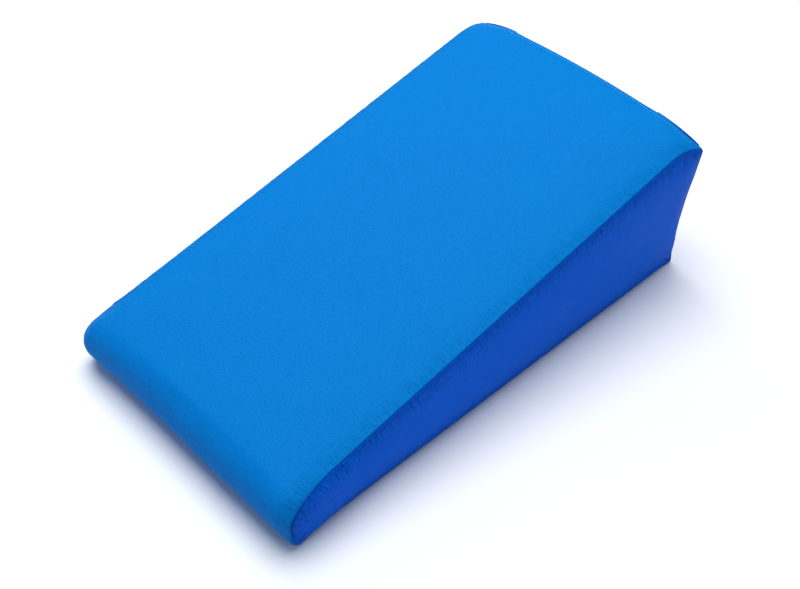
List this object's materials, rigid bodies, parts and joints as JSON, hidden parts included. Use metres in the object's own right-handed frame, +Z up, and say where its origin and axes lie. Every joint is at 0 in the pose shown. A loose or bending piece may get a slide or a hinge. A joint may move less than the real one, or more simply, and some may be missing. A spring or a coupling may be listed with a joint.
{
  "type": "incline wedge mat",
  "caption": "Small foam incline wedge in a sewn synthetic-leather cover, with a round nose, a flat base and a zip across the thick end.",
  "frame": {"origin": "middle of the flat base, half way between the nose and the thick end's cover", "axes": "+Y from the round nose up the ramp to the thick end, +Z up, +X to the right of someone facing up the ramp"},
  "size_m": [0.3, 0.5542, 0.1756],
  "materials": {
    "foam": "matte",
    "cover": "satin",
    "base": "matte",
    "thread": "satin",
    "zip_tape": "matte",
    "zip_coil": "satin",
    "zip_metal": "satin"
  },
  "bodies": {
    "cushion": {"foam_core": "foam", "top_panel": "cover", "right_side_panel": "cover", "left_side_panel": "cover", "back_panel_upper": "cover", "back_panel_lower": "cover", "base_panel": "base", "right_seam_thread": "thread", "left_seam_thread": "thread", "back_top_seam_thread": "thread", "back_right_seam_thread": "thread", "back_left_seam_thread": "thread", "base_seam_thread": "thread", "back_edge_topstitching": "thread", "zip_tape_upper": "zip_tape", "zip_tape_lower": "zip_tape", "zip_coil_upper": "zip_coil", "zip_coil_lower": "zip_coil", "zip_stitching_upper": "thread", "zip_stitching_lower": "thread", "zip_stop_right": "zip_metal", "zip_stop_left": "zip_metal"},
    "slider": {"zip_slider": "zip_metal"},
    "pull_tab": {"zip_pull_tab": "zip_metal"}
  },
  "joints": [
    {"name": "zip_slide", "type": "slide", "parent": "cushion", "child": "slider", "axis": [-1, 0, 0], "range_m": [0, 0.2535]},
    {"name": "pull_tab_hinge", "type": "hinge", "parent": "slider", "child": "pull_tab", "pos_m": [0.12675, 0.2773, 0.045], "axis": [0, 0, -1], "range_deg": [0, 180]}
  ]
}
